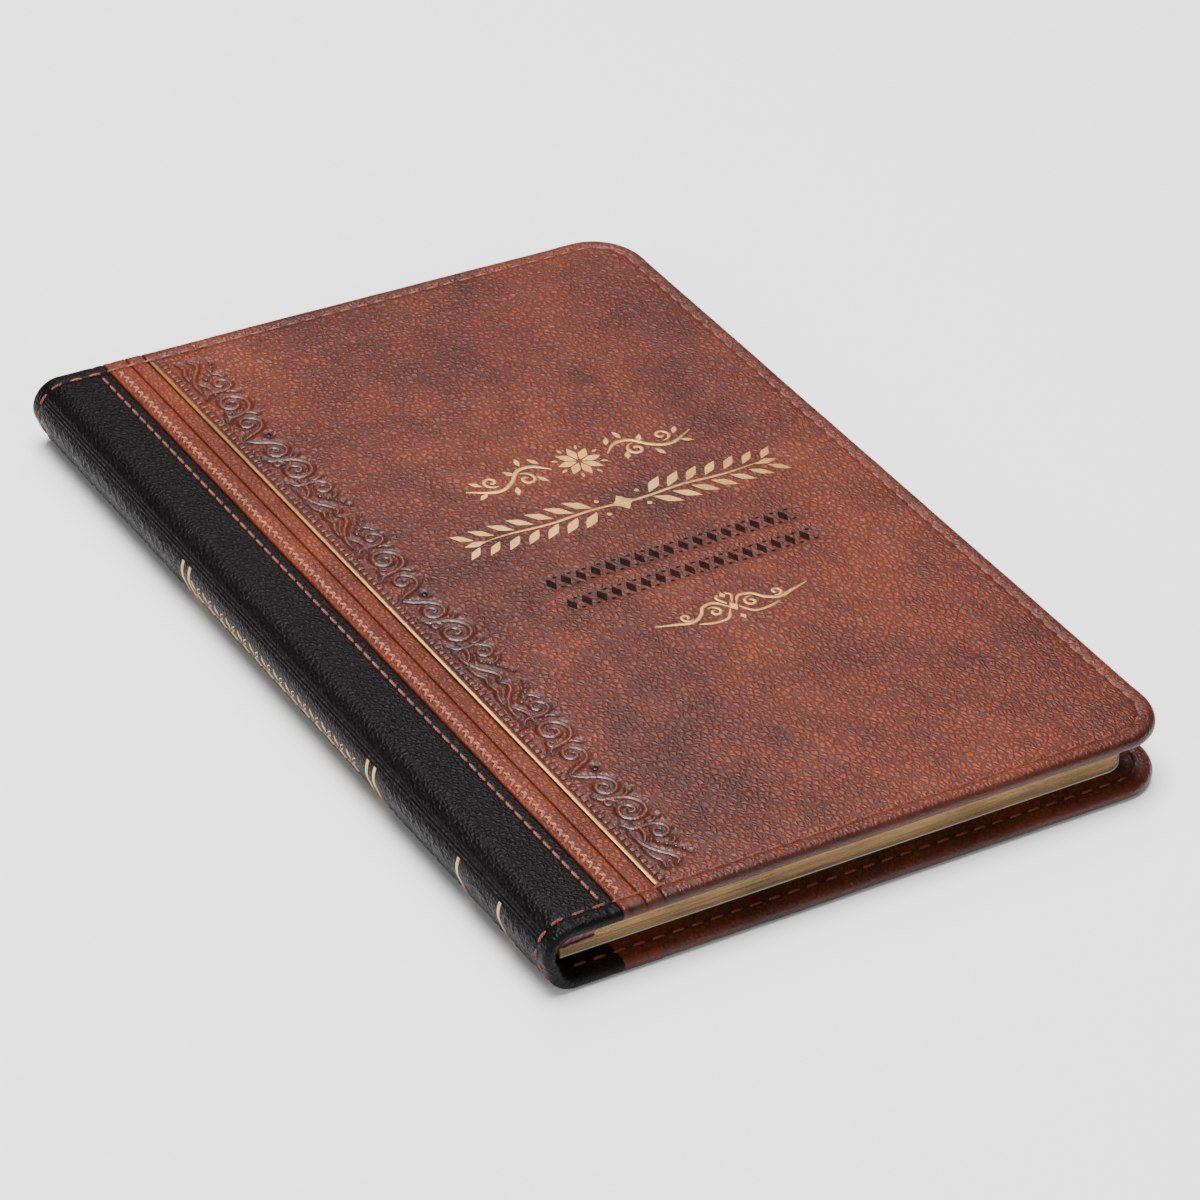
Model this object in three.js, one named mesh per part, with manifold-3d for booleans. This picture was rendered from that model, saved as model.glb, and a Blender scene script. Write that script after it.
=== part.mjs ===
// A prayer book in a quarter-bound soft leather case: two padded covers, a rounded
// hollow spine, a block of leaves in eight sections, two flyleaves and a ribbon marker.
// Millimetres. X runs from the spine to the fore edge, Y from tail to head, Z up.
import * as THREE from "three";
import { mergeVertices } from "three/addons/utils/BufferGeometryUtils.js";
import Module from "manifold-3d";

const wasm = await Module();
wasm.setup();

// Overall sizes of the closed book.
const book_height = 178; // head to tail
const cover_length = 124.5; // spine face to fore edge of one cover
const book_thickness = 13;
const cover_thickness = 2.3;
const lean = 1.2; // the front cover sits this much nearer the spine side than the back one

// The case.
const spine_radius = 5.2; // outside radius of each shoulder of the spine
const cover_corner_radius = 10;
const outer_leather = 0.7; // brown skin on the outside of a board
const hinge_leather = 1.2; // dark skin over the spine and shoulders
const turn_in_leather = 0.4; // skin folded over onto the inside
const turn_in_width = 12;
const foam_thickness = 0.5;
const edge_round = 0.48 * cover_thickness; // rolled edge of a cover, almost a half round
const layer_gap = 0.04; // glue line between layers
const kerf = 0.06; // gap between two pieces of leather that butt

// The bands of leather on each cover, in order from the spine face.
const dark_to = 14.05;
const stitched_strap_width = 4.45;
const plain_strap_width = 3.4;
const dark_stitch_inset = 2; // from the dark leather's own edge
const strap_stitch_inset = 1.6; // from the stitched strap's edge next to the dark leather

// Thread, all of it sunk in grooves.
const seam_inset = 3.1;
const groove_depth = 0.3;
const groove_width = 0.7;
const thread_width = 0.5;
const strap_groove_width = 1.3;
const strap_thread_width = 1.1;
const thread_play = 0.03; // from the floor and from the mouth of a groove
const thread_end_play = 1; // from each end of a straight groove

// The book block.
const square = 5.5; // how far the covers stand out past the leaves
const block_corner_radius = 5;
const block_from_joint = 0.85; // where a cover meets its shoulder, to the back of the leaves
const sections = 8;
const flyleaf_thickness = 0.25;
const leaf_gap = 0.05;
const cover_play = 0.1; // between a cover and its flyleaf

// The ribbon marker.
const ribbon_width = 6.2;
const ribbon_thickness = 0.3;
const ribbon_offset = -0.3; // from the back of the leaves
const ribbon_drop = 0.62; // share of the block's edge that the loose end hangs over
const ribbon_bulge = 1.3; // how far the loose end stands off the leaves
const ribbon_end_gap = 1; // from the head of the leaves to its fixed end

const beyond = 1; // how far a cutting shape stands out past what it cuts
const half = book_height / 2;
const total_length = cover_length + lean;
const stitched_strap_to = dark_to + stitched_strap_width;
const plain_strap_to = stitched_strap_to + plain_strap_width;
const dark_stitch_at = dark_to - dark_stitch_inset;
const strap_stitch_at = dark_to + strap_stitch_inset;
const inner_radius = spine_radius - cover_thickness;
const block_set_back = spine_radius + block_from_joint;

function solidOf(geometry) {
  const bare = new THREE.BufferGeometry();
  const loose = geometry.index ? geometry.toNonIndexed() : geometry;
  bare.setAttribute("position", loose.getAttribute("position"));
  const welded = mergeVertices(bare, 1e-4);
  return new wasm.Manifold(
    new wasm.Mesh({
      numProp: 3,
      vertProperties: new Float32Array(welded.attributes.position.array),
      triVerts: new Uint32Array(welded.index.array),
    }),
  );
}

function geometryOf(solid) {
  const mesh = solid.getMesh();
  const points = new Float32Array(mesh.numVert * 3);
  for (let i = 0; i < mesh.numVert; i++) {
    points.set(mesh.vertProperties.subarray(i * mesh.numProp, i * mesh.numProp + 3), i * 3);
  }
  const made = new THREE.BufferGeometry();
  made.setAttribute("position", new THREE.BufferAttribute(points, 3));
  made.setIndex(new THREE.BufferAttribute(new Uint32Array(mesh.triVerts), 1));
  const flat = made.toNonIndexed();
  flat.computeVertexNormals();
  return flat;
}

// Joins outlines with the same number of points into one closed skin.
// "flat" turns a point into the plane that the end outlines are filled in.
function loft(rings, flat) {
  const count = rings[0].length;
  const points = rings.flat().flatMap((p) => [p.x, p.y, p.z]);
  const faces = [];
  for (let r = 0; r + 1 < rings.length; r++) {
    for (let i = 0; i < count; i++) {
      const j = (i + 1) % count;
      const a = r * count + i;
      const b = r * count + j;
      faces.push(a, b, b + count, a, b + count, a + count);
    }
  }
  const last = (rings.length - 1) * count;
  const first_end = rings[0].map(flat);
  const clockwise = THREE.ShapeUtils.isClockWise(first_end);
  for (const [a, b, c] of THREE.ShapeUtils.triangulateShape(first_end, [])) {
    faces.push(...(clockwise ? [a, b, c] : [a, c, b]));
  }
  for (const corner of THREE.ShapeUtils.triangulateShape(rings.at(-1).map(flat), [])) {
    const [a, b, c] = corner.map((i) => i + last);
    faces.push(...(clockwise ? [a, c, b] : [a, b, c]));
  }
  const made = new THREE.BufferGeometry();
  made.setAttribute("position", new THREE.Float32BufferAttribute(points, 3));
  made.setIndex(faces);
  const solid = solidOf(made);
  if (solid.volume() > 0) return solid;
  made.setIndex(faces.toReversed());
  return solidOf(made);
}

const fromAbove = (p) => new THREE.Vector2(p.x, p.y);
const fromTail = (p) => new THREE.Vector2(p.x, p.z);

// An outline drawn flat and raised between two heights.
function plate(outline, low, high) {
  const at = (z) => outline.map((p) => new THREE.Vector3(p.x, p.y, z));
  return loft([at(low), at(high)], fromAbove);
}

function block(x0, x1, y0, y1, z0, z1) {
  const box = new THREE.BoxGeometry(x1 - x0, y1 - y0, z1 - z0);
  box.translate((x0 + x1) / 2, (y0 + y1) / 2, (z0 + z1) / 2);
  return solidOf(box);
}

// Square at the spine, rounded at the two fore corners, drawn in from the full size by "inset".
function leafOutline(from, to, tall, radius, inset) {
  const shape = new THREE.Shape();
  const r = Math.max(radius - inset, 0.5);
  const x = to - inset - r;
  const y = tall - inset - r;
  shape.moveTo(from, -y - r);
  shape.lineTo(x, -y - r);
  shape.absarc(x, -y, r, -Math.PI / 2, 0, false);
  shape.lineTo(x + r, y);
  shape.absarc(x, y, r, 0, Math.PI / 2, false);
  shape.lineTo(from, y + r);
  return shape.getPoints(7).filter((p, i, all) => !i || p.distanceTo(all[i - 1]) > 1e-6);
}

const coverOutline = (inset, from) =>
  leafOutline(from, cover_length, half, cover_corner_radius, inset);

// A rolled edge, as pairs: how far past the face, and how far the outline is drawn in there.
function roll(radius, steps) {
  const pairs = [];
  for (let i = 0; i <= steps; i++) {
    const a = (i / steps) * 0.5 * Math.PI;
    pairs.push([radius * (1 - Math.cos(a)), radius * (1 - Math.sin(a))]);
  }
  return pairs;
}

// ---------------------------------------------------------------- the covers
// A cover is drawn inside face down at z = 0, and then put in place on each side.
const board_from = spine_radius; // a cover starts where its shoulder ends

function coverBlank() {
  const inside = roll(edge_round, 4);
  const outside = inside.map(([z, inset]) => [cover_thickness - z, inset]).toReversed();
  const levels = [...inside, ...outside];
  const from = board_from + kerf;
  const rings = levels.map(([z, inset]) =>
    coverOutline(inset, from).map((p) => new THREE.Vector3(p.x, p.y, z)),
  );
  return loft(rings, fromAbove);
}

// A band that follows the cover's three free edges.
function seamBand(width, low, high, from) {
  const outside = coverOutline(seam_inset - width / 2, from);
  const inside = coverOutline(seam_inset + width / 2, from).toReversed();
  return plate([...outside, ...inside], low, high);
}

const cavity_top = cover_thickness - outer_leather;
const stitch_reach = half - seam_inset - groove_width;

function coverSkin() {
  const from = board_from - beyond;
  const cavity = plate(coverOutline(outer_leather, from), turn_in_leather, cavity_top);
  const window = plate(coverOutline(turn_in_width, from), -beyond, turn_in_leather);
  const groove_floor = cover_thickness - groove_depth;
  const above = cover_thickness + beyond;
  const seam = seamBand(groove_width, groove_floor, above, from);
  const straight = (x, w) =>
    block(x - w / 2, x + w / 2, -stitch_reach, stitch_reach, groove_floor, above);
  return coverBlank()
    .subtract(cavity)
    .subtract(window)
    .subtract(seam)
    .subtract(straight(dark_stitch_at, groove_width))
    .subtract(straight(strap_stitch_at, strap_groove_width));
}

// One band of the skin, between two distances from the spine.
function cut(solid, from, to) {
  const reach = half + beyond;
  const above = cover_thickness + beyond;
  return solid.intersect(block(from + kerf / 2, to - kerf / 2, -reach, reach, -beyond, above));
}

const thread_low = cover_thickness - groove_depth + thread_play;
const thread_high = cover_thickness - thread_play;
const thread_reach = stitch_reach - thread_end_play;
const straightThread = (x, w) =>
  block(x - w / 2, x + w / 2, -thread_reach, thread_reach, thread_low, thread_high);

const skin = coverSkin();
const foam_low = cavity_top - layer_gap - foam_thickness;
const filling_from = board_from + 2 * kerf;
const filling_inset = outer_leather + layer_gap;
const cover_parts = {
  dark_leather: cut(skin, 0, dark_to),
  stitched_strap: cut(skin, dark_to, stitched_strap_to),
  plain_strap: cut(skin, stitched_strap_to, plain_strap_to),
  main_leather: cut(skin, plain_strap_to, cover_length + beyond),
  foam_pad: plate(coverOutline(filling_inset, filling_from), foam_low, cavity_top - layer_gap),
  board: plate(
    coverOutline(filling_inset, filling_from),
    turn_in_leather + layer_gap,
    foam_low - layer_gap,
  ),
  endpaper: plate(
    coverOutline(turn_in_width + kerf, filling_from),
    layer_gap,
    turn_in_leather - layer_gap,
  ),
  edge_seam: seamBand(thread_width, thread_low, thread_high, filling_from),
  dark_stitching: straightThread(dark_stitch_at, thread_width),
  strap_stitching: straightThread(strap_stitch_at, strap_thread_width),
};

const onFront = (solid) => solid.translate([0, 0, book_thickness - cover_thickness]);
const onBack = (solid) => solid.mirror([0, 0, 1]).translate([lean, 0, cover_thickness]);

// ---------------------------------------------------------------- the spine
// Seen from the tail the spine is two arcs joined by a short straight face that leans.
const back_centre = new THREE.Vector2(spine_radius + lean, spine_radius);
const front_centre = new THREE.Vector2(spine_radius, book_thickness - spine_radius);
const up_spine = front_centre.clone().sub(back_centre).normalize();
const tangent_angle = Math.atan2(up_spine.x, -up_spine.y) + 2 * Math.PI;
const kerf_angle = kerf / spine_radius;

// Angles from one end of each length of the spine to the other, and their centres.
const front_arc = {
  centre: front_centre,
  from: tangent_angle - kerf_angle,
  to: Math.PI / 2,
  steps: 9,
};
const back_arc = {
  centre: back_centre,
  from: 1.5 * Math.PI,
  to: tangent_angle + kerf_angle,
  steps: 6,
};

function arcPoints({ centre, from, to, steps }, radius) {
  const points = [];
  for (let i = 0; i <= steps; i++) {
    const a = from + ((to - from) * i) / steps;
    points.push(new THREE.Vector2(centre.x + radius * Math.cos(a), centre.y + radius * Math.sin(a)));
  }
  return points;
}

const face_ends = [back_centre, front_centre];
function facePoints(radius) {
  const out = new THREE.Vector2(-up_spine.y, up_spine.x);
  return face_ends.map((c) => c.clone().addScaledVector(out, radius));
}

// A length of the spine's wall between two radii, at one place along the book.
const wallRing = (points, outside, inside, y) =>
  [...points(outside), ...points(inside).toReversed()].map(
    (p) => new THREE.Vector3(p.x, y, p.y),
  );

function wall(points, outside, inside, from, to) {
  return loft([wallRing(points, outside, inside, from), wallRing(points, outside, inside, to)], fromTail);
}

// The line of a cutting shape, drawn on past both ends of the wall that it cuts.
const pastEnds = (points) => (radius) => {
  const line = points(radius);
  const start = line[0].clone().sub(line[1]).setLength(beyond);
  const end = line.at(-1).clone().sub(line.at(-2)).setLength(beyond);
  return [line[0].clone().add(start), ...line, line.at(-1).clone().add(end)];
};

// The same wall with both ends rolled over.
function rolledWall(points) {
  const ends = roll(edge_round, 4).map(([along, inset]) => [half - along, inset]);
  const rings = [];
  for (const [y, inset] of ends) {
    rings.push(wallRing(points, spine_radius - inset, inner_radius + inset, -y));
  }
  for (const [y, inset] of ends.toReversed()) {
    rings.push(wallRing(points, spine_radius - inset, inner_radius + inset, y));
  }
  return loft(rings, fromTail);
}

const window_reach = half - turn_in_width;
const seam_at = half - seam_inset;

function spineLeather(points) {
  const line = pastEnds(points);
  const window = wall(
    line,
    spine_radius - hinge_leather,
    inner_radius - beyond,
    -window_reach,
    window_reach,
  );
  const groove = (y) =>
    wall(
      line,
      spine_radius + beyond,
      spine_radius - groove_depth,
      y - groove_width / 2,
      y + groove_width / 2,
    );
  return rolledWall(points).subtract(window).subtract(groove(seam_at)).subtract(groove(-seam_at));
}

const frontShoulder = (radius) => arcPoints(front_arc, radius);
const backShoulder = (radius) => arcPoints(back_arc, radius);

function wholeSpine(radius) {
  const back = arcPoints(back_arc, radius);
  const front = arcPoints(front_arc, radius);
  return [...back, ...front];
}

const seamAcrossSpine = (y) =>
  wall(
    wholeSpine,
    spine_radius - thread_play,
    spine_radius - groove_depth + thread_play,
    y - thread_width / 2,
    y + thread_width / 2,
  );

const liner_reach = window_reach - layer_gap;
const spine_liner = wall(
  facePoints,
  spine_radius - hinge_leather - layer_gap,
  inner_radius + layer_gap,
  -liner_reach,
  liner_reach,
);

// ---------------------------------------------------------------- the leaves
const leaves_low = cover_thickness + cover_play + flyleaf_thickness + leaf_gap;
const front_flyleaf_low = book_thickness - cover_thickness - cover_play - flyleaf_thickness;
const ribbon_low = front_flyleaf_low - leaf_gap - ribbon_thickness;
const leaves_high = ribbon_low - leaf_gap;
const section_thickness = (leaves_high - leaves_low - (sections - 1) * leaf_gap) / sections;
const section_pitch = section_thickness + leaf_gap;
const leaf_half = half - square;
const fore_edge = cover_length + lean / 2 - square;

// The block leans with the covers, so each layer sits a little nearer the spine than the one below.
const leanAt = (z) => lean * (0.5 - z / book_thickness);

function leaf(low, thickness) {
  const shift = leanAt(low + thickness / 2);
  const from = block_set_back + shift;
  const outline = leafOutline(from, fore_edge + shift, leaf_half, block_corner_radius, 0);
  return plate(outline, low, low + thickness);
}

// The ribbon lies under the front flyleaf from head to tail, and its end hangs over the tail edge.
function ribbon() {
  const middle = ribbon_low + ribbon_thickness / 2;
  const drop_to = middle - ribbon_drop * (middle - leaves_low);
  const run = [
    new THREE.Vector2(leaf_half - ribbon_end_gap, middle),
    new THREE.Vector2(-leaf_half + 0.5, middle),
  ];
  const hang = new THREE.CubicBezierCurve(
    new THREE.Vector2(-leaf_half, middle),
    new THREE.Vector2(-leaf_half - 1.4 * ribbon_bulge, middle),
    new THREE.Vector2(-leaf_half - 1.3 * ribbon_bulge, middle - 0.45 * (middle - drop_to)),
    new THREE.Vector2(-leaf_half - 0.7 * ribbon_bulge, drop_to),
  );
  const centre = [...run, ...hang.getPoints(12)];
  const side = (sign) =>
    centre.map((p, i) => {
      const before = centre[Math.max(i - 1, 0)];
      const after = centre[Math.min(i + 1, centre.length - 1)];
      const along = after.clone().sub(before).normalize();
      return new THREE.Vector2(
        p.x - (sign * along.y * ribbon_thickness) / 2,
        p.y + (sign * along.x * ribbon_thickness) / 2,
      );
    });
  const outline = [...side(1), ...side(-1).toReversed()];
  const from = block_set_back + leanAt(middle) + ribbon_offset;
  const at = (x) => outline.map((p) => new THREE.Vector3(x, p.x, p.y));
  return loft([at(from), at(from + ribbon_width)], (p) => new THREE.Vector2(p.y, p.z));
}

// ---------------------------------------------------------------- the assembly
const looks = {
  brown: { color: 0x6e2f1d, roughness: 0.4, metalness: 0 },
  tan: { color: 0x8a4522, roughness: 0.45, metalness: 0 },
  dark: { color: 0x1f1215, roughness: 0.38, metalness: 0 },
  thread: { color: 0xa4523a, roughness: 0.6, metalness: 0 },
  card: { color: 0x8d8170, roughness: 0.9, metalness: 0 },
  foam: { color: 0xd9d4c4, roughness: 0.95, metalness: 0 },
  paper: { color: 0xefe6d2, roughness: 0.85, metalness: 0 },
  gilt: { color: 0xa98a5c, roughness: 0.45, metalness: 0.3 },
  ribbon: { color: 0x5a1722, roughness: 0.5, metalness: 0 },
};

const cover_looks = {
  dark_leather: "dark",
  stitched_strap: "tan",
  plain_strap: "tan",
  main_leather: "brown",
  foam_pad: "foam",
  board: "card",
  endpaper: "paper",
  edge_seam: "thread",
  dark_stitching: "thread",
  strap_stitching: "thread",
};

const book = new THREE.Group();
book.name = "prayer_book";
book.position.x = -total_length / 2;

function add(name, solid, look) {
  const mesh = new THREE.Mesh(geometryOf(solid), new THREE.MeshStandardMaterial(looks[look]));
  mesh.name = name;
  book.add(mesh);
}

for (const [name, solid] of Object.entries(cover_parts)) {
  add("front_" + name, onFront(solid), cover_looks[name]);
  add("back_" + name, onBack(solid), cover_looks[name]);
}

add("front_shoulder_leather", spineLeather(frontShoulder), "dark");
add("back_shoulder_leather", spineLeather(backShoulder), "dark");
add("spine_leather", spineLeather(facePoints), "dark");
add("spine_liner", spine_liner, "card");
add("spine_seam_head", seamAcrossSpine(seam_at), "thread");
add("spine_seam_tail", seamAcrossSpine(-seam_at), "thread");

add("back_flyleaf", leaf(cover_thickness + cover_play, flyleaf_thickness), "paper");
for (let i = 0; i < sections; i++) {
  add("leaves_" + (i + 1), leaf(leaves_low + i * section_pitch, section_thickness), "gilt");
}
add("front_flyleaf", leaf(front_flyleaf_low, flyleaf_thickness), "paper");
add("ribbon_marker", ribbon(), "ribbon");

export default book;
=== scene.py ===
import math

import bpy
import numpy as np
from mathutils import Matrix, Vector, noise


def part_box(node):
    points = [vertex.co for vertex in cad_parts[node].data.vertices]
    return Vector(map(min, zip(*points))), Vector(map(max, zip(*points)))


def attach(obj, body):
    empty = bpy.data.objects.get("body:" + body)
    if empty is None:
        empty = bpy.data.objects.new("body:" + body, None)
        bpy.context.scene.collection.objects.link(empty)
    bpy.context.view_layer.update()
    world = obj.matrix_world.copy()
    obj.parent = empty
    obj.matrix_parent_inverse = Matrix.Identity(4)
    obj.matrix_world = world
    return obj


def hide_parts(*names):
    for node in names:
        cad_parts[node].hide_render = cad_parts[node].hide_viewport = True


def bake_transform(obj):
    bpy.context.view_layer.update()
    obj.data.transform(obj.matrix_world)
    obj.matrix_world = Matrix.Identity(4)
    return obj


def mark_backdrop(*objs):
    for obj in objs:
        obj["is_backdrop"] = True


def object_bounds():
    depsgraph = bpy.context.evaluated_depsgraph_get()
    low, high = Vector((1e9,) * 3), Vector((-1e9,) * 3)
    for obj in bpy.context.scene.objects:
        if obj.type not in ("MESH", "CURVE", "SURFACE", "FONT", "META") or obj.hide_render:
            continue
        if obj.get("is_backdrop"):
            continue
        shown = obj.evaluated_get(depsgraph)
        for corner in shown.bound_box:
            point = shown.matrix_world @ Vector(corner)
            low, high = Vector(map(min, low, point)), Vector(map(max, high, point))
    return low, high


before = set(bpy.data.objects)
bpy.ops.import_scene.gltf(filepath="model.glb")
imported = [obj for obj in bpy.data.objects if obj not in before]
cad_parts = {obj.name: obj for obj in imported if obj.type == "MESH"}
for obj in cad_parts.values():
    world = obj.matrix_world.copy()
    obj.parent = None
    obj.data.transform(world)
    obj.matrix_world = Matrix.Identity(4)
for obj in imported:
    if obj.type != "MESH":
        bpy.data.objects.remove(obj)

# %% [markdown]
# # A soft leather prayer book
# A quarter-bound book: two padded covers, dark leather over a rounded hollow spine, two tan straps,
# a border of blind tooling, gilt ornament, gilt leaves and a ribbon. The CAD part fixes every size.
# Each piece is made flat, as leather is cut, and then bent to its place, because that keeps the
# grain, the tooling and the seams true to the sheet. Lengths are millimetres while a piece is shaped,
# counted from the face of the spine, from the middle of the book's height, and up from the table.

cad_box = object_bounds()
MM = 0.001
spine_face = cad_box[0].x / MM


def span(node, axis):
    """The lowest and highest place of a CAD node along one axis, in millimetres."""
    low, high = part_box(node)
    shift = spine_face if axis == 0 else 0
    return low[axis] / MM - shift, high[axis] / MM - shift


half_height = cad_box[1].y / MM
thickness = cad_box[1].z / MM
cover_end = span("front_main_leather", 0)[1]
cover = thickness - span("front_main_leather", 2)[0]
lean = span("back_main_leather", 0)[1] - cover_end
cover_from = span("front_shoulder_leather", 0)[1]
dark_to = span("front_stitched_strap", 0)[0]
stitched_to = span("front_plain_strap", 0)[0]
plain_to = span("front_main_leather", 0)[0]
turn_in = cover_end - span("front_endpaper", 0)[1]
seam_inset = half_height - sum(span("spine_seam_head", 1)) / 2
strap_seam = sum(span("front_strap_stitching", 0)) / 2
dark_seam = sum(span("front_dark_stitching", 0)) / 2
corner_radius = 10
roll_radius = 0.48 * cover
turned_skin = 0.4
outer_skin = 0.7
hinge_skin = 1.2
print("cover", round(cover, 2), "straps", round(dark_to, 2), round(stitched_to, 2), round(plain_to, 2))

# %% [markdown]
# ## Helpers for shaping
# Blender's tools act on whatever is selected, so each helper clears the selection first.
# A mesh's points are read and written as one array, which is how a sheet of fifty thousand points
# can be bent in one step.

# %% helpers
def deselect():
    if bpy.context.object and bpy.context.object.mode != "OBJECT":
        bpy.ops.object.mode_set(mode="OBJECT")
    bpy.ops.object.select_all(action="DESELECT")


def choose(*things):
    deselect()
    for thing in things:
        thing.select_set(True)
    bpy.context.view_layer.objects.active = things[0]


def named(name):
    made = bpy.context.object
    made.name = name
    made.data.name = name
    return made


def points(thing):
    flat = np.empty(len(thing.data.vertices) * 3, np.float32)
    thing.data.vertices.foreach_get("co", flat)
    return flat.reshape(-1, 3).astype(float)


def put_points(thing, places):
    thing.data.vertices.foreach_set("co", places.astype(np.float32).ravel())
    thing.data.update()


def pick(thing, verts=None, edges=None):
    """Selects points, or edges by a mask on their two ends, and enters edit mode."""
    choose(thing)
    bpy.ops.object.mode_set(mode="EDIT")
    bpy.ops.mesh.select_all(action="DESELECT")
    bpy.ops.mesh.select_mode(type="VERT" if edges is None else "EDGE")
    bpy.ops.object.mode_set(mode="OBJECT")
    if edges is None:
        thing.data.vertices.foreach_set("select", verts)
    else:
        thing.data.edges.foreach_set("select", edges)
    bpy.ops.object.mode_set(mode="EDIT")


def picked(thing):
    bpy.ops.object.mode_set(mode="OBJECT")
    chosen = np.empty(len(thing.data.vertices), bool)
    thing.data.vertices.foreach_get("select", chosen)
    return chosen


def edge_ends(thing):
    ends = np.empty(len(thing.data.edges) * 2, np.int32)
    thing.data.edges.foreach_get("vertices", ends)
    return ends.reshape(-1, 2)


def copies(thing, placements, name):
    """Copies of one small piece, joined into one object. Each placement is a 4 x 4 matrix."""
    made = []
    for matrix in placements:
        twin = thing.copy()
        twin.data = thing.data.copy()
        twin.data.transform(matrix)
        bpy.context.collection.objects.link(twin)
        made.append(twin)
    bpy.data.objects.remove(thing)
    choose(*made)
    if len(made) > 1:
        bpy.ops.object.join()
    return named(name)


def smooth_step(low, high, x):
    t = np.clip((x - low) / (high - low), 0, 1)
    return t * t * (3 - 2 * t)


def bump_at(x, centre, width):
    return np.exp(-(((x - centre) / width) ** 2))


def wavy(places, size, seed):
    """Smooth noise from -1 to 1 at each place, with features about as large as size."""
    shift = Vector((seed * 17.3, seed * -9.1, seed * 4.7))
    return np.array([noise.noise(Vector(p) / size + shift) for p in places])


def finish(thing, look, slot, body=None, blend=None, stands_for=(), angle=35):
    """Moves a piece into the frame, gives it its finish and, if it has no blend, fixes it to its body."""
    deselect()
    thing.data.transform(Matrix.Translation((spine_face * MM, 0, 0)) @ Matrix.Scale(MM, 4))
    if look:
        thing.data.materials.clear()
        thing.data.materials.append(look)
    choose(thing)
    bpy.ops.object.shade_smooth_by_angle(angle=math.radians(angle))
    deselect()
    if stands_for:
        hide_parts(*stands_for)
    if blend:
        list(blend)
        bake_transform(thing)
    else:
        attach(thing, body)
    print(thing.name, len(thing.data.polygons), "faces")
    return thing

# %% [markdown]
# ## The finishes
# A finish is a small graph of shader nodes. Writing it as sums and products of masks is easier to
# read than a page of node links, so a wire carries the usual operators, and each use adds a Math node.

# %% wires and looks
class Wire:
    def __init__(self, look, socket):
        self.look = look
        self.socket = socket

    def _math(self, operation, first, second):
        return self.look.add("ShaderNodeMath", {"operation": operation}, {0: first, 1: second})

    def __add__(self, other):
        return self._math("ADD", self, other)

    def __radd__(self, other):
        return self._math("ADD", other, self)

    def __sub__(self, other):
        return self._math("SUBTRACT", self, other)

    def __rsub__(self, other):
        return self._math("SUBTRACT", other, self)

    def __mul__(self, other):
        return self._math("MULTIPLY", self, other)

    def __rmul__(self, other):
        return self._math("MULTIPLY", other, self)

    def __pow__(self, other):
        return self._math("POWER", self, other)


class Look:
    """One material, with its Principled shader and a way to add nodes."""

    def __init__(self, name, **constants):
        self.material = bpy.data.materials.new(name)
        self.material.use_nodes = True
        self.tree = self.material.node_tree
        self.shader = self.tree.nodes["Principled BSDF"]
        self.set(**constants)

    def set(self, **values):
        for name, value in values.items():
            self.link(self.shader.inputs[name.replace("_", " ")], value)
        return self

    def link(self, socket, value):
        if isinstance(value, Wire):
            self.tree.links.new(value.socket, socket)
        else:
            socket.default_value = (*value, 1) if isinstance(value, tuple) and len(value) == 3 else value

    def add(self, kind, settings=None, sockets=None, output=0):
        made = self.tree.nodes.new(kind)
        for name, value in (settings or {}).items():
            if name == "stops":
                ramp = made.color_ramp.elements
                while len(ramp) < len(value):
                    ramp.new(1)
                for element, (place, colour) in zip(ramp, value):
                    element.position = place
                    element.color = (*colour, 1)
            else:
                setattr(made, name, value)
        for name, value in (sockets or {}).items():
            self.link(made.inputs[name], value)
        return Wire(self, made.outputs[output])

    def place(self, scale=(1, 1, 1), turn=(0, 0, 0)):
        where = self.add("ShaderNodeTexCoord", output="Object")
        if scale == (1, 1, 1) and turn == (0, 0, 0):
            return where
        sockets = {"Vector": where, "Scale": Vector(scale), "Rotation": Vector(turn)}
        return self.add("ShaderNodeMapping", None, sockets)

    def cloud(self, size_mm, detail=3.0, where=None, rough=0.55):
        sockets = {"Vector": where or self.place(), "Scale": 1000 / size_mm}
        sockets.update({"Detail": detail, "Roughness": rough})
        return self.add("ShaderNodeTexNoise", None, sockets)

    def cells(self, size_mm, feature="DISTANCE_TO_EDGE", where=None):
        sockets = {"Vector": where or self.place(), "Scale": 1000 / size_mm}
        return self.add("ShaderNodeTexVoronoi", {"feature": feature}, sockets)

    def ramp(self, factor, *stops):
        return self.add("ShaderNodeValToRGB", {"stops": stops}, {"Fac": factor})

    def between(self, value, low, high):
        sockets = {"Value": value, 1: low, 2: high}
        return self.add("ShaderNodeMapRange", {"interpolation_type": "SMOOTHSTEP"}, sockets)

    def mix(self, factor, first, second):
        made = self.tree.nodes.new("ShaderNodeMix")
        made.data_type = "RGBA"
        for number, value in ((0, factor), (6, first), (7, second)):
            self.link(made.inputs[number], value)
        return Wire(self, made.outputs[2])

    def mark(self, name):
        return self.add("ShaderNodeAttribute", {"attribute_name": name}, output="Fac")

    def bump(self, height, depth_mm, strength=1.0):
        sockets = {"Height": height, "Distance": depth_mm * MM, "Strength": strength}
        return self.add("ShaderNodeBump", None, sockets, output="Normal")
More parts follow.
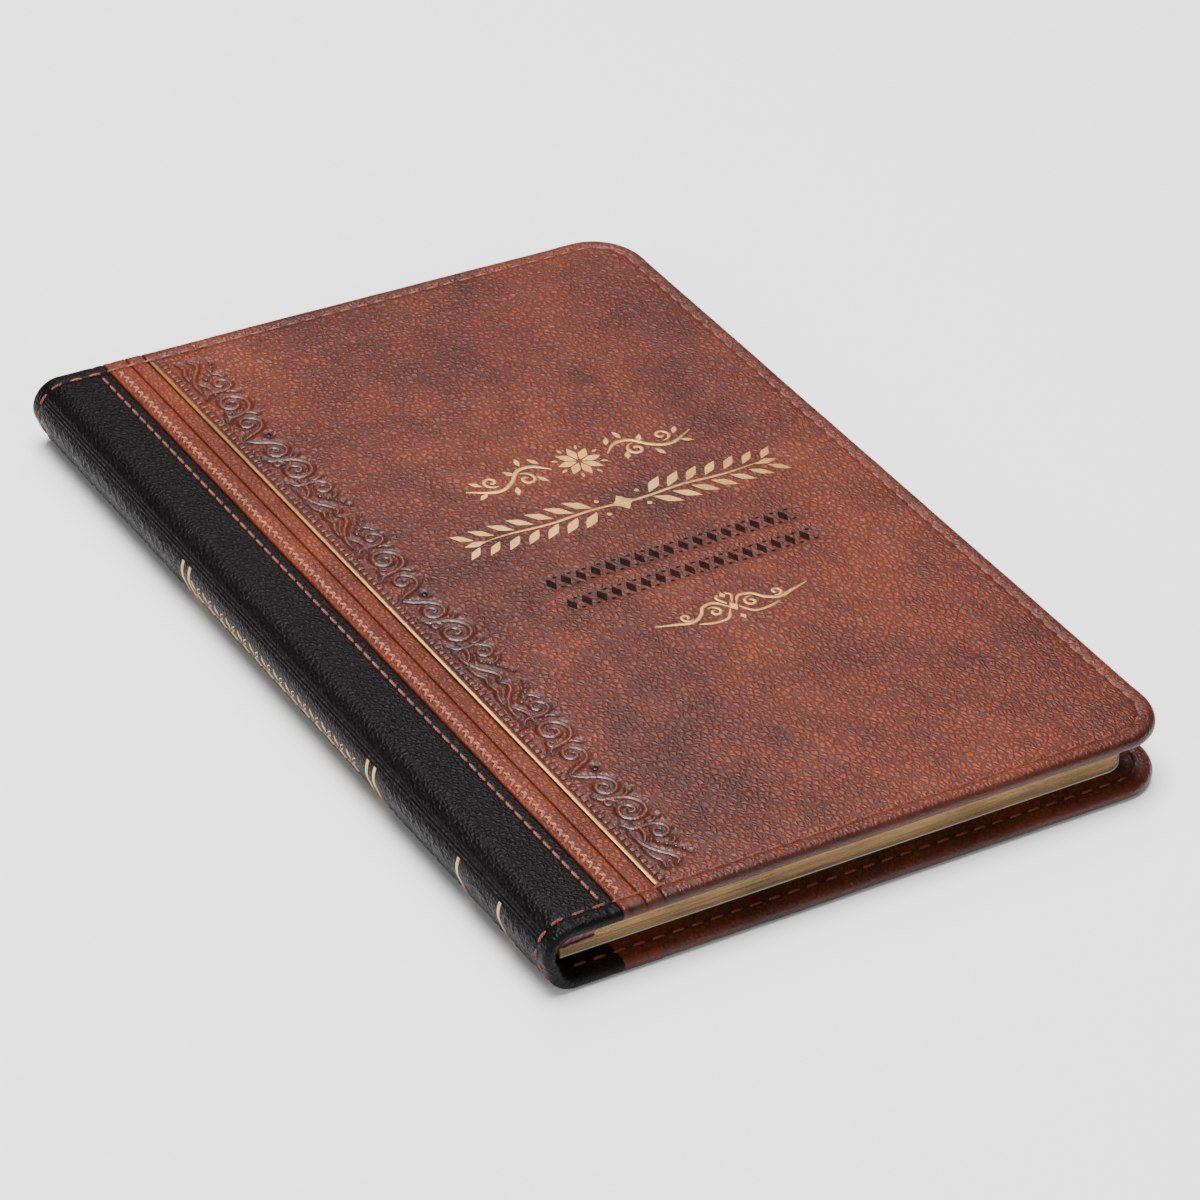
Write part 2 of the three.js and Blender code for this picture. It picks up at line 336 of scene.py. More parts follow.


# %% [markdown]
# ### Leather
# This is coated leather. Its grain is a net of soft cells under a millimetre across, and its colour was
# rubbed on unevenly. Shade is painted into the tooling, the furrows and the seams, and along the rolled
# edges, where the piece carries its painted-shade mark. One recipe serves the brown, the tan and the
# dark leather, the smooth polished stems of the border, and the burnt marks of the two sunk bands.

# %% leather
def leather(name, deep, middle, bright, gloss, shine, grain_mm, grain_depth):
    look = Look(name, Roughness=gloss, Specular_IOR_Level=shine)
    drift = look.cloud(6, 2)
    rubbed = look.cloud(30, 3) * 0.5 + look.cloud(7, 4) * 0.25 + look.cloud(grain_mm * 1.3, 2) * 0.25
    colour = look.ramp(rubbed, (0.38, deep), (0.5, middle), (0.62, bright))
    net = look.between(look.cells(grain_mm, where=look.place((1, 0.72, 1), (0, 0, 0.6))), 0.0, 0.32)
    fine = look.cloud(grain_mm * 0.55, 3)
    crease = look.between(look.cells(4.5, where=look.place((1, 0.6, 1), (0, 0, -0.5))), 0.0, 0.05)
    shade_amount = look.mark("burnish")
    # Painted shade: where the mark is high (tooled grooves, moats, seams, pleats, rolled edges) the colour
    # goes almost black.
    colour = look.mix(shade_amount * 0.95, colour, tuple(c * 0.12 for c in deep))
    colour = look.mix((1 - net) * (1 - shade_amount) * 0.65, colour, tuple(c * 0.3 for c in deep))
    height = (net * 0.5 + fine * 0.5 + crease * 0.12) * (1 - shade_amount * 0.8)
    rough = gloss - 0.1 + drift * 0.12 + (1 - net) * 0.14
    look.set(Base_Color=colour, Roughness=rough, Normal=look.bump(height, grain_depth, 1.0))
    return look.material


brown_leather = leather(
    "brown_leather", (0.045, 0.006, 0.002), (0.095, 0.0135, 0.004), (0.16, 0.027, 0.007),
    gloss=0.35, shine=0.28, grain_mm=0.95, grain_depth=0.15,
)
tan_leather = leather(
    "tan_leather", (0.07, 0.01, 0.0026), (0.13, 0.021, 0.005), (0.2, 0.036, 0.009),
    gloss=0.38, shine=0.22, grain_mm=0.8, grain_depth=0.13,
)
tooled_leather = leather(
    "tooled_leather", (0.05, 0.007, 0.0024), (0.1, 0.015, 0.0045), (0.17, 0.029, 0.0075),
    gloss=0.3, shine=0.45, grain_mm=0.95, grain_depth=0.04,
)
burnished_leather = leather(
    "burnished_leather", (0.006, 0.001, 0.0005), (0.012, 0.0018, 0.0008), (0.022, 0.0035, 0.0014),
    gloss=0.5, shine=0.06, grain_mm=0.8, grain_depth=0.08,
)
dark_leather = leather(
    "dark_leather", (0.0012, 0.0005, 0.0007), (0.0022, 0.0009, 0.0012), (0.0045, 0.002, 0.0026),
    gloss=0.4, shine=0.1, grain_mm=0.8, grain_depth=0.14,
)

# %% [markdown]
# ### Thread, foil, leaves, ribbon and the hidden layers
# Thread is matt with bright twists. Foil is a true metal with specks worn through. The leaves' edges
# were sprayed bronze-gold, so their colour glitters in specks and runs in lines along the leaves.

# %% the other finishes
def thread(name, deep, bright):
    look = Look(name, Roughness=0.6, Sheen_Weight=0.1)
    fuzz = look.cloud(0.25, 3)
    colour = look.ramp(fuzz * 0.6 + look.cloud(5, 2) * 0.4, (0.3, deep), (0.65, bright))
    look.set(Base_Color=colour, Normal=look.bump(fuzz, 0.05))
    return look.material


copper_thread = thread("copper_thread", (0.07, 0.012, 0.005), (0.24, 0.055, 0.022))
bright_thread = thread("bright_thread", (0.2, 0.05, 0.026), (0.5, 0.17, 0.1))

foil = Look("gold_foil", Metallic=0.85, Roughness=0.34)
specks = foil.cloud(0.5, 4)
foil.set(
    Base_Color=foil.ramp(
        specks * 0.6 + foil.cloud(6, 2) * 0.4, (0.32, (0.36, 0.18, 0.045)), (0.6, (0.64, 0.38, 0.125))
    ),
    Roughness=0.26 + specks * 0.2,
    Normal=foil.bump(specks, 0.02),
)
gold_foil = foil.material

edges = Look("gilt_edge", Metallic=0.55, Roughness=0.42)
lines = edges.cloud(0.22, 2, edges.place((0.02, 0.02, 1)))
glitter = edges.cells(0.16, "F1")
edges.set(
    Base_Color=edges.mix(
        edges.between(lines * 0.55 + edges.cloud(9, 2) * 0.25 + glitter * 0.3, 0.35, 0.75),
        (0.14, 0.072, 0.024),
        (0.66, 0.4, 0.16),
    ),
    Roughness=0.3 + glitter * 0.3,
    Normal=edges.bump(lines * 0.7 + glitter * 0.3, 0.05),
)
gilt_edge = edges.material


def paper(name, pale, shade):
    look = Look(name, Roughness=0.8)
    fibre = look.cloud(0.6, 5) * 0.5 + look.cloud(22, 3) * 0.5
    colour = look.ramp(fibre, (0.3, shade), (0.7, pale))
    look.set(Base_Color=colour, Normal=look.bump(look.cloud(0.35, 3), 0.015))
    return look.material


cream_paper = paper("cream_paper", (0.8, 0.73, 0.6), (0.7, 0.62, 0.49))
endpaper_cream = paper("endpaper_cream", (0.74, 0.66, 0.52), (0.64, 0.55, 0.42))
grey_card = paper("grey_card", (0.4, 0.35, 0.28), (0.28, 0.24, 0.19))
cream_foam = paper("cream_foam", (0.75, 0.7, 0.6), (0.6, 0.55, 0.46))

satin = Look("burgundy_satin", Roughness=0.34, Sheen_Weight=0.5, Coat_Weight=0.1)
rib_sockets = {"Vector": satin.place(), "Scale": 260.0, "Distortion": 0.3}
ribs = satin.add("ShaderNodeTexWave", {"bands_direction": "X"}, rib_sockets)
weave = satin.cloud(0.3, 2, satin.place((0.3, 2, 2)))
satin.set(
    Base_Color=satin.mix(ribs * 0.6 + weave * 0.3, (0.028, 0.002, 0.006), (0.16, 0.012, 0.024)),
    Normal=satin.bump(ribs * 0.7 + weave * 0.3, 0.07),
)
burgundy_satin = satin.material
print(len(bpy.data.materials), "finishes")

# %% [markdown]
# ## The blind tooling, as lines
# A border of scrolls runs along the straps. Half of one repeat is drawn here as lines on the flat
# leather, and the rest is its mirror image and its repeats. A spiral is a circle whose radius shrinks
# as it turns. The same lines later press the moat into the cover and carry the raised stems.

# %% scroll lines
border_from = plain_to + 3.15
border_to = border_from + 7.8
repeat = 55.0
repeats = 3


def spiral(centre, outer, inner, start, sweep, steps=30):
    t = np.linspace(0, 1, steps)
    angle = np.radians(start + sweep * t)
    radius = outer + (inner - outer) * t**0.8
    return np.column_stack([centre[0] + radius * np.cos(angle), centre[1] + radius * np.sin(angle)])


def curve_through(knots, steps=12):
    """A smooth line through a few knots."""
    knots = np.array(knots, float)
    ends = np.vstack([2 * knots[0] - knots[1], knots, 2 * knots[-1] - knots[-2]])
    line = []
    for a, b, c, d in zip(ends, ends[1:], ends[2:], ends[3:]):
        for t in np.linspace(0, 1, steps, endpoint=False):
            bow, twist = 2 * a - 5 * b + 4 * c - d, 3 * b - a - 3 * c + d
            line.append(0.5 * (2 * b + (c - a) * t + bow * t**2 + twist * t**3))
    return np.array(line + [knots[-1]])


def tailed(tail, swirl):
    """A spiral with a tail that flows into it."""
    return np.vstack([curve_through([*tail, swirl[0], swirl[2]], 6)[:-6], swirl[1:]])


half_motif = [
    (tailed([(0.3, 0.5), (1.2, 1.9)], spiral((4.9, 3.5), 2.7, 0.4, 160, -520)), 0.42),
    (tailed([(6.6, 0.5), (7.6, 1.3)], spiral((11.9, 3.9), 3.7, 0.5, 180, -560, 40)), 0.46),
    (tailed([(14.9, 0.5), (16.4, 1.8)], spiral((18.7, 5.3), 2.2, 0.4, 190, -470)), 0.4),
    (spiral((8.9, 2.0), 1.2, 0.3, 60, 400, 18), 0.3),
    (curve_through([(15.4, 2.6), (17.1, 2.9), (18.9, 2.5), (20.4, 1.4)], 6), 0.34),
    (curve_through([(17.2, 0.7), (20.2, 0.9), (22.8, 2.1), (24.7, 3.7), (26.3, 4.2), (27.3, 3.4)], 6), 0.38),
    (curve_through([(21.6, 0.5), (23.8, 0.8), (25.6, 1.6), (27.3, 1.1)], 6), 0.34),
    (curve_through([(7.2, 6.6), (8.1, 5.7), (8.3, 4.6)], 5), 0.3),
    (curve_through([(15.2, 6.9), (15.9, 6.0), (15.9, 4.9)], 5), 0.3),
    (curve_through([(20.6, 6.9), (21.8, 6.3), (22.3, 5.4)], 5), 0.28),
]
dots = [
    (0.0, 4.9, 0.5), (21.0, 3.6, 0.3), (22.1, 4.6, 0.28), (23.2, 5.6, 0.26), (24.4, 6.4, 0.22),
    (25.6, 6.9, 0.18),
]
for along, across, size in dots:
    half_motif.append((np.array([[along + part * size, across] for part in (-1, -0.5, 0, 0.5, 1)]), size))

scroll_lines = []
for number in range(repeats):
    middle = (number - (repeats - 1) / 2) * repeat
    for line, width in half_motif:
        for side in (1, -1):
            placed = np.column_stack([border_from + line[:, 1], middle + side * line[:, 0]])
            scroll_lines.append((placed, width))
print(len(scroll_lines), "tooled lines")

# %% [markdown]
# ## The covers
# A cover is board and foam in a leather skin whose edges roll over and are glued down inside. The
# skin starts as a flat grid. Its free border is extruded ring by ring: over the rolled edge, back
# along the inside, and up round the board, so that the finished skin is one closed wall. The relief
# is then pressed into the upper side, and bisect cuts the skin into its bands.

# %% the shape of a cover's outline
straight_to = 60.0


def corner(inset):
    radius = max(corner_radius - inset, 0.5)
    return cover_end - inset - radius, half_height - inset - radius, radius


def shrink(at, inset, to):
    """Points on the outline drawn in by inset, moved to the same place on the outline drawn in by to."""
    x, y = at[:, 0], at[:, 1]
    (cx, cy, _), (nx, ny, radius) = corner(inset), corner(to)
    side, up = np.sign(y), np.abs(y)
    angle = np.arctan2(np.maximum(up - cy, 0), np.maximum(x - cx, 1e-9))
    along = straight_to + (x - straight_to) * (nx - straight_to) / (cx - straight_to)
    on_end, on_fore = x <= cx + 1e-5, up <= cy + 1e-5
    new_x = np.where(on_end, np.where(x > straight_to, along, x), nx + radius * np.cos(angle))
    new_y = np.where(on_end, side * (half_height - to), side * (ny + radius * np.sin(angle)))
    new_x = np.where(on_fore & ~on_end, cover_end - to, new_x)
    new_y = np.where(on_fore & ~on_end, y * ny / cy, new_y)
    return new_x, new_y


def inset_of(x, y):
    """How far a point lies inside the cover's free edges."""
    up = np.abs(y)
    plain = np.minimum(half_height - up, cover_end - x)
    cx, cy, radius = corner(0)
    in_corner = (x > cx) & (up > cy)
    return np.where(in_corner, radius - np.hypot(x - cx, up - cy), plain)


# %% the relief of the front cover
ladder = (plain_to + 1.2, plain_to + 2.85)
sunk_bands = ((-4.6, -9.6), (-11.4, -16.4))
sunk_from, sunk_to = 48.4, 103.4
fore_ridge = cover_end - 13.7


def moat(x, y):
    """1 beside a tooled line, fading to 0 over half a millimetre."""
    depth = np.zeros(len(x))
    near = (x > border_from - 1) & (x < border_to + 1)
    places = np.column_stack([x[near], y[near]])
    best = np.zeros(len(places))
    for line, width in scroll_lines:
        low, high = line.min(0) - 1.5, line.max(0) + 1.5
        around = np.flatnonzero(((places > low) & (places < high)).all(1))
        if len(around):
            away = np.sqrt(((places[around, None] - line[None]) ** 2).sum(2)).min(1)
            best[around] = np.maximum(best[around], 1 - smooth_step(width, width + 0.75, away))
    depth[near] = best
    return depth


def straps_relief(x, y):
    """The heights and the painted-shade mark that both covers share: straps, seams and rolled edges."""
    seam = bump_at(inset_of(x, y), seam_inset, 0.5)
    furrows = sum(bump_at(x, at, 0.16) for at in (dark_to, stitched_to, plain_to))
    crown = smooth_step(dark_to, dark_to + 0.5, x) * (1 - smooth_step(plain_to - 0.5, plain_to, x))
    threads = bump_at(x, dark_seam, 0.45) + 0.8 * bump_at(x, strap_seam, 0.7)
    height = -0.13 * seam - 0.22 * furrows + 0.1 * crown - 0.11 * threads
    height = height + 0.07 * bump_at(inset_of(x, y), seam_inset - 1.3, 0.6)
    # Painted shade in the edge seam, the furrows between the bands and the stitch channels, and along the
    # rolled edges.
    shade_amount = 0.5 * seam + 0.85 * furrows + 0.4 * threads + 0.75 * (1 - smooth_step(0.2, 2.0, inset_of(x, y)))
    return height, shade_amount


def wrinkles(x, y, seed):
    """Soft creases, which fade out towards the straps."""
    flat = np.column_stack([x, y, np.zeros(len(x))])
    broad = wavy(flat * (1, 0.7, 1), 26, seed)
    small = wavy(flat * (0.8, 1.2, 1), 6, seed + 1)
    ridged = 1 - np.abs(wavy(flat * (1.3, 0.8, 1), 15, seed + 2)) * 2.2
    amount = smooth_step(plain_to + 12, plain_to + 30, x)
    dark = 1 - smooth_step(dark_to - 4, dark_to - 1, x)
    height = amount * (0.1 * broad + 0.035 * small + 0.045 * np.maximum(ridged, 0) ** 2)
    return height + dark * (0.045 * small + 0.05 * np.maximum(ridged, 0) ** 2)


def front_relief(x, y):
    height, shade_amount = straps_relief(x, y)
    rail = smooth_step(ladder[0], ladder[0] + 0.25, x) * (1 - smooth_step(ladder[1] - 0.25, ladder[1], x))
    rail = rail * (1 - smooth_step(half_height - 4.2, half_height - 3.6, np.abs(y)))
    pressed = moat(x, y)
    line = bump_at(x, border_from - 0.25, 0.14)
    sunk = 0
    for top, bottom in sunk_bands:
        sunk = sunk + smooth_step(bottom, bottom + 0.7, y) * (1 - smooth_step(top - 0.7, top, y))
    sunk = sunk * smooth_step(sunk_from, sunk_from + 1.5, x) * (1 - smooth_step(sunk_to - 1.5, sunk_to, x))
    turned = 0.12 * smooth_step(fore_ridge - 0.8, fore_ridge + 0.6, x)
    turned = turned + 0.07 * smooth_step(half_height - turn_in - 0.8, half_height - turn_in + 0.6, np.abs(y))
    turned = turned * smooth_step(plain_to + 12, plain_to + 16, x)
    height = height - 0.17 * rail - 0.2 * pressed - 0.08 * line - 0.09 * sunk + turned + wrinkles(x, y, 3)
    # Painted shade is added in the ladder channel, the moats round the scrolls, the groove by the foil line
    # and the sunk bands.
    return height, shade_amount + 0.7 * rail + 0.9 * pressed + 0.5 * line + 0.5 * sunk


def back_relief(x, y):
    height, shade_amount = straps_relief(x, y)
    return height + wrinkles(x, y, 11), shade_amount


def rings_over_edge(top_insets, under_insets):
    """The way from the upper side over the rolled edge and back inside, as inset and height."""
    steps = 7
    turn = [math.pi / 2 * i / steps for i in range(steps + 1)]
    over = [(roll_radius * (1 - math.sin(a)), cover - roll_radius * (1 - math.cos(a))) for a in turn]
    under = [(inset, cover - height) for inset, height in reversed(over)]
    return [(i, cover) for i in top_insets] + over + under + [(i, 0.0) for i in under_insets]


# %% a flat sheet, and a skin made from it
def sheet(name, columns, rows):
    """A grid whose lines stand at the given places."""
    deselect()
    bpy.ops.mesh.primitive_grid_add(x_subdivisions=len(columns) - 1, y_subdivisions=len(rows) - 1, size=1)
    made = named(name)
    at = points(made)
    across = np.rint((at[:, 0] + 0.5) * (len(columns) - 1)).astype(int)
    along = np.rint((at[:, 1] + 0.5) * (len(rows) - 1)).astype(int)
    put_points(made, np.column_stack([np.array(columns)[across], np.array(rows)[along], at[:, 2]]))
    return made


def extrude_rings(thing, border, rings, move):
    """Extrudes the picked border once for each ring, and moves the new points there."""
    pick(thing, edges=border)
    before = None
    for ring in rings:
        bpy.ops.object.mode_set(mode="EDIT")
        bpy.ops.mesh.extrude_edges_indiv()
        new = picked(thing)
        at = points(thing)
        at[new] = move(at[new], before, ring)
        put_points(thing, at)
        before = ring
    bpy.ops.object.mode_set(mode="EDIT")
    return thing


def close_holes(thing):
    """Fills the border of the last ring, and then whatever flat hole is left."""
    bpy.ops.mesh.edge_face_add()
    bpy.ops.mesh.select_all(action="DESELECT")
    bpy.ops.mesh.select_mode(type="EDGE")
    bpy.ops.mesh.select_non_manifold()
    bpy.ops.mesh.edge_face_add()
    bpy.ops.mesh.select_all(action="SELECT")
    bpy.ops.mesh.normals_make_consistent(inside=False)
    bpy.ops.object.mode_set(mode="OBJECT")
    return thing


def cover_skin(name, columns, row_step, relief):
    first = 4.4
    cx, cy, radius = corner(first)
    middle = np.linspace(-cy, cy, int(2 * cy / row_step))
    bend = cy + radius * np.sin(np.linspace(0, math.pi / 2, 15))[1:]
    rows = np.concatenate([-bend[::-1], middle, bend])
    end = cover_end - first
    skin = sheet(name, [*columns, end], rows)
    at = points(skin)
    ends = edge_ends(skin)
    a, b = at[ends[:, 0]], at[ends[:, 1]]
    border = ((a[:, 0] > end - 1e-4) & (b[:, 0] > end - 1e-4)) | (
        (np.abs(a[:, 1]) > rows[-1] - 1e-4) & (np.abs(b[:, 1]) > rows[-1] - 1e-4) & (a[:, 1] * b[:, 1] > 0)
    )
    reach = cx + np.sqrt(np.maximum(radius**2 - np.maximum(np.abs(at[:, 1]) - cy, 0) ** 2, 0))
    squeezed = straight_to + (at[:, 0] - straight_to) * (reach - straight_to) / (end - straight_to)
    at[:, 0] = np.where(at[:, 0] > straight_to, squeezed, at[:, 0])
    at[:, 2] = cover
    put_points(skin, at)
    rings = rings_over_edge(
        (4.0, 3.7, 3.45, 3.25, 3.1, 2.95, 2.75, 2.5, 2.1, 1.7, 1.35),
        (1.7, 2.2, 2.6, 2.9, 3.1, 3.3, 3.6, 4.2, 5.4, 7.0, 9.0, 10.8, 11.7, turn_in),
    )
    hollow = outer_skin + 0.04
    rings += [(turn_in, turned_skin), (hollow, turned_skin), (hollow, cover - outer_skin)]

    def move(there, before, ring):
        x, y = shrink(there, before[0] if before else first, ring[0])
        return np.column_stack([x, y, np.full(len(x), ring[1])])

    close_holes(extrude_rings(skin, border, rings, move))
    at = points(skin)
    x, y, z = at.T
    height, shade_amount = relief(x, y)
    upper = smooth_step(cover - roll_radius, cover - 0.01, z) * (inset_of(x, y) < 200)
    lower = 1 - smooth_step(0.0, 0.05, z)
    cx, cy, _ = corner(0)
    turn = np.arctan2(np.abs(y) - cy, np.maximum(x - cx, 1e-3))
    in_corner = smooth_step(0.12, 0.3, turn) * (1 - smooth_step(1.27, 1.45, turn)) * (x > cx - 2)
    pleats = in_corner * smooth_step(3.6, 6.0, inset_of(x, y)) * (0.5 + 0.5 * np.cos(turn * 44))
    tucks = 0.13 * lower * bump_at(inset_of(x, y), seam_inset, 0.45) + 0.2 * lower * pleats
    at[:, 2] = z + upper * height + tucks
    put_points(skin, at)
    # Painted shade: the relief's mark, plus shade painted into the corner pleats and the seam's tuck on the
    # inner side.
    mark = skin.data.attributes.new("burnish", "FLOAT", "POINT")
    shade_under = lower * (0.6 * pleats + 0.5 * bump_at(inset_of(x, y), seam_inset, 0.5))
    shade_amount = np.where(z > 0.9, shade_amount, shade_amount * 0.6 + shade_under)
    mark.data.foreach_set("value", np.clip(shade_amount, 0, 1).astype(np.float32))
    print(name, len(skin.data.polygons), "faces before it is cut")
    return skin


def band(skin, name, low, high):
    """The part of a skin between two cuts, each closed with a flat face."""
    piece = skin.copy()
    piece.data = skin.data.copy()
    bpy.context.collection.objects.link(piece)
    choose(piece)
    named(name)
    bpy.ops.object.mode_set(mode="EDIT")
    for place, keep_above in ((low, True), (high, False)):
        if place is not None:
            bpy.ops.mesh.select_all(action="SELECT")
            bpy.ops.mesh.bisect(
                plane_co=(place, 0, 0), plane_no=(1, 0, 0), use_fill=True,
                clear_inner=keep_above, clear_outer=not keep_above,
            )
    bpy.ops.object.mode_set(mode="OBJECT")
    return piece


def near(place, *offsets):
    return [place + o for o in offsets]


# %% the front cover's skin, cut into four bands
strap_columns = [
    *np.arange(cover_from, dark_seam - 0.8, 0.55), *near(dark_seam, -0.6, -0.3, 0, 0.3, 0.6, 1.0),
    *near(dark_to, -0.5, -0.3, -0.15, 0, 0.15, 0.3, 0.6),
    *near(strap_seam, -0.6, -0.3, 0, 0.3, 0.7, 1.4, 2.0),
    *near(stitched_to, -0.4, -0.15, 0, 0.15, 0.4, 1.0, 1.8, 2.6), *near(plain_to, -0.4, -0.15, 0, 0.15, 0.4),
]
border_columns = np.arange(plain_to + 0.7, border_to + 1.2, 0.3)
fine_columns = [*strap_columns, *border_columns, *np.arange(border_to + 1.5, 119.6, 1.25)]
front_skin = cover_skin("front_skin", fine_columns, 0.36, front_relief)
bands = {
    "dark_leather": (None, dark_to, dark_leather, "dark_leather"),
    "stitched_strap": (dark_to, stitched_to, tan_leather, "tan_leather"),
    "plain_strap": (stitched_to, plain_to, tan_leather, "tan_leather"),
    "main_leather": (plain_to, None, brown_leather, "brown_leather"),
}


def to_front(thing):
    thing.data.transform(Matrix.Translation((0, 0, thickness - cover)))
    return thing


def to_back(thing):
    """Turns a piece made for the front cover over, for the back one."""
    flip = Matrix.Translation((lean, 0, cover)) @ Matrix.Scale(-1, 4, (0, 0, 1))
    thing.data.transform(flip)
    choose(thing)
    bpy.ops.object.mode_set(mode="EDIT")
    bpy.ops.mesh.select_all(action="SELECT")
    bpy.ops.mesh.flip_normals()
    bpy.ops.object.mode_set(mode="OBJECT")
    return thing


for part, (low, high, look, slot) in bands.items():
    piece = to_front(band(front_skin, f"front_{part}_skin", low, high))
    finish(piece, look, slot, "front_cover", stands_for=[f"front_{part}"], angle=50)
bpy.data.objects.remove(front_skin)

# %% the back cover's skin
plain_columns = [*strap_columns, *np.arange(plain_to + 1, 119.6, 1.5)]
back_skin = cover_skin("back_skin", plain_columns, 1.0, back_relief)
for part, (low, high, look, slot) in bands.items():
    piece = to_back(band(back_skin, f"back_{part}_skin", low, high))
    finish(piece, look, slot, "back_cover", stands_for=[f"back_{part}"], angle=50)
bpy.data.objects.remove(back_skin)

# %% [markdown]
# ## The spine
# The spine is one strip of dark leather, bent round two shoulders with a short leaning face between
# them. It is tooled while it is flat and then wrapped round the spine's line, in three pieces,
# because the shoulders bend when a cover opens and the face doesn't.

# %% the line that the spine follows
radius = cover_from
front_centre = np.array([radius, thickness - radius])
back_centre = np.array([radius + lean, radius])
face_way = back_centre - front_centre
face_length = np.hypot(*face_way)
face_way = face_way / face_length
face_normal = np.array([face_way[1], -face_way[0]])
front_turn = math.atan2(face_normal[1], face_normal[0]) % (2 * math.pi) - math.pi / 2
back_turn = math.pi - front_turn
front_arc = radius * front_turn
face_stop = front_arc + face_length
spine_width = face_stop + radius * back_turn


def spine_point(along, height):
    """Where a place on the flat strip comes to lie: X and Z for its distance round the spine."""
    x = np.empty(len(along))
    z = np.empty(len(along))
    out = radius + height
    for there, centre, angle in (
        (along <= front_arc, front_centre, math.pi / 2 + along / radius),
        (along > face_stop, back_centre, 1.5 * math.pi - (spine_width - along) / radius),
    ):
        x[there] = centre[0] + (out * np.cos(angle))[there]
        z[there] = centre[1] + (out * np.sin(angle))[there]
    flat = (along > front_arc) & (along <= face_stop)
    x[flat] = front_centre[0] + face_way[0] * (along[flat] - front_arc) + face_normal[0] * out[flat]
    z[flat] = front_centre[1] + face_way[1] * (along[flat] - front_arc) + face_normal[1] * out[flat]
    return x, z


# %% the tooling of the spine
emblem_at = -68.1
panels = ((31.2 + 1.6, half_height - 4.5), (-61.7 + 1.6, -35 - 1.6), (-half_height + 4.5, -74.5 - 1.6))
lattice_pitch = 6.75
rule_at = 5.4


def spine_relief(along, y):
    """Three fine rules, a lattice of pointed arches in the panels, and a petalled emblem."""
    rules = sum(bump_at(along, rule_at + step, 0.16) for step in (-0.65, 0, 0.65))
    rules = rules * (1 - smooth_step(half_height - 3.4, half_height - 2.6, np.abs(y)))
    middle = (rule_at + 1.5 + spine_width) / 2
    across = along - middle
    lattice = np.zeros(len(y))
    for low, high in panels:
        inside = smooth_step(low, low + 0.5, y) * (1 - smooth_step(high - 0.5, high, y))
        inside = inside * smooth_step(rule_at + 1.2, rule_at + 1.6, along)
        step = (y - low) / lattice_pitch
        cell = (step - np.floor(step) - 0.5) * lattice_pitch
        bow = lattice_pitch / 2 * np.cos(np.pi * across / 9.5)
        diamond = bump_at(np.abs(cell) - np.abs(bow), 0, 0.3)
        ring = bump_at(np.hypot(cell, across * 0.85), 1.5, 0.3)
        petal = bump_at(np.hypot(cell, across), 0, 0.7)
        side = bump_at(np.hypot(np.abs(cell) - lattice_pitch / 2, np.abs(across) - 4.6), 1.3, 0.28)
        lattice = np.maximum(lattice, inside * np.maximum.reduce([diamond, ring, petal, side]))
    away = np.hypot(y - emblem_at, across)
    turn = np.arctan2(across, y - emblem_at)
    petals = bump_at(away, 2.2 + 1.5 * np.abs(np.cos(turn * 3)), 0.35) * (away < 5)
    lattice = np.maximum.reduce([lattice, petals, bump_at(away, 0, 0.8), bump_at(away, 5.0, 0.25)])
    seam = bump_at(half_height - np.abs(y), seam_inset, 0.45)
    height = -0.12 * rules + 0.17 * lattice - 0.13 * seam
    # The second value is painted shade in the three rules and the seam.
    return height, 0.6 * rules + 0.5 * seam


def spine_piece(name, low, high, step):
    """One length of the spine, made flat as a closed wall and then wrapped round its line."""
    first = 2.0
    columns = np.linspace(low, high, max(3, int((high - low) / step)))
    rows = np.linspace(first - half_height, half_height - first, 500)
    piece = sheet(name, columns, rows)
    at = points(piece)
    at[:, 2] = cover
    put_points(piece, at)
    ends = edge_ends(piece)
    a, b = at[ends[:, 0]], at[ends[:, 1]]
    border = (np.abs(a[:, 1]) > rows[-1] - 1e-4) & (np.abs(b[:, 1]) > rows[-1] - 1e-4)
    border &= a[:, 1] * b[:, 1] > 0
    inner = cover - hinge_skin
    rings = rings_over_edge((1.7, 1.35), (2.0, 3.1, 6.0, turn_in)) + [(turn_in, inner)]

    def move(there, before, ring):
        side = np.sign(there[:, 1])
        return np.column_stack([there[:, 0], side * (half_height - ring[0]), np.full(len(there), ring[1])])

    extrude_rings(piece, border, rings, move)
    bpy.ops.mesh.bridge_edge_loops()
    for edge in (low, high):
        at_edge = np.abs(points(piece)[:, 0] - edge) < 1e-4
        pick(piece, verts=at_edge)
        bpy.ops.mesh.select_mode(type="EDGE")
        bpy.ops.mesh.select_non_manifold(extend=False)
        bpy.ops.object.mode_set(mode="OBJECT")
        open_edges = np.empty(len(piece.data.edges), bool)
        piece.data.edges.foreach_get("select", open_edges)
        on_edge = (np.abs(points(piece)[edge_ends(piece), 0] - edge) < 1e-4).all(1)
        pick(piece, edges=open_edges & on_edge)
        bpy.ops.mesh.edge_face_add()
    bpy.ops.object.mode_set(mode="OBJECT")
    at = points(piece)
    height, shade_amount = spine_relief(at[:, 0], at[:, 1])
    at[:, 2] += height * smooth_step(cover - 0.3, cover - 0.01, at[:, 2])
    # The spine's painted-shade mark, read by the dark leather.
    mark = piece.data.attributes.new("burnish", "FLOAT", "POINT")
    mark.data.foreach_set("value", np.clip(shade_amount, 0, 1).astype(np.float32))
    put_points(piece, at)
    return wrapped(piece)


def wrapped(piece):
    """Bends a flat piece of the strip round the spine. The strip runs the other way, so it turns over."""
    at = points(piece)
    x, z = spine_point(at[:, 0], at[:, 2] - cover)
    put_points(piece, np.column_stack([x, at[:, 1], z]))
    pick(piece, verts=np.ones(len(at), bool))
    bpy.ops.mesh.normals_make_consistent(inside=False)
    bpy.ops.object.mode_set(mode="OBJECT")
    return piece


def frame_point(along):
    x, z = spine_point(np.array([along]), np.zeros(1))
    return Vector(((x[0] + spine_face) * MM, 0, z[0] * MM))


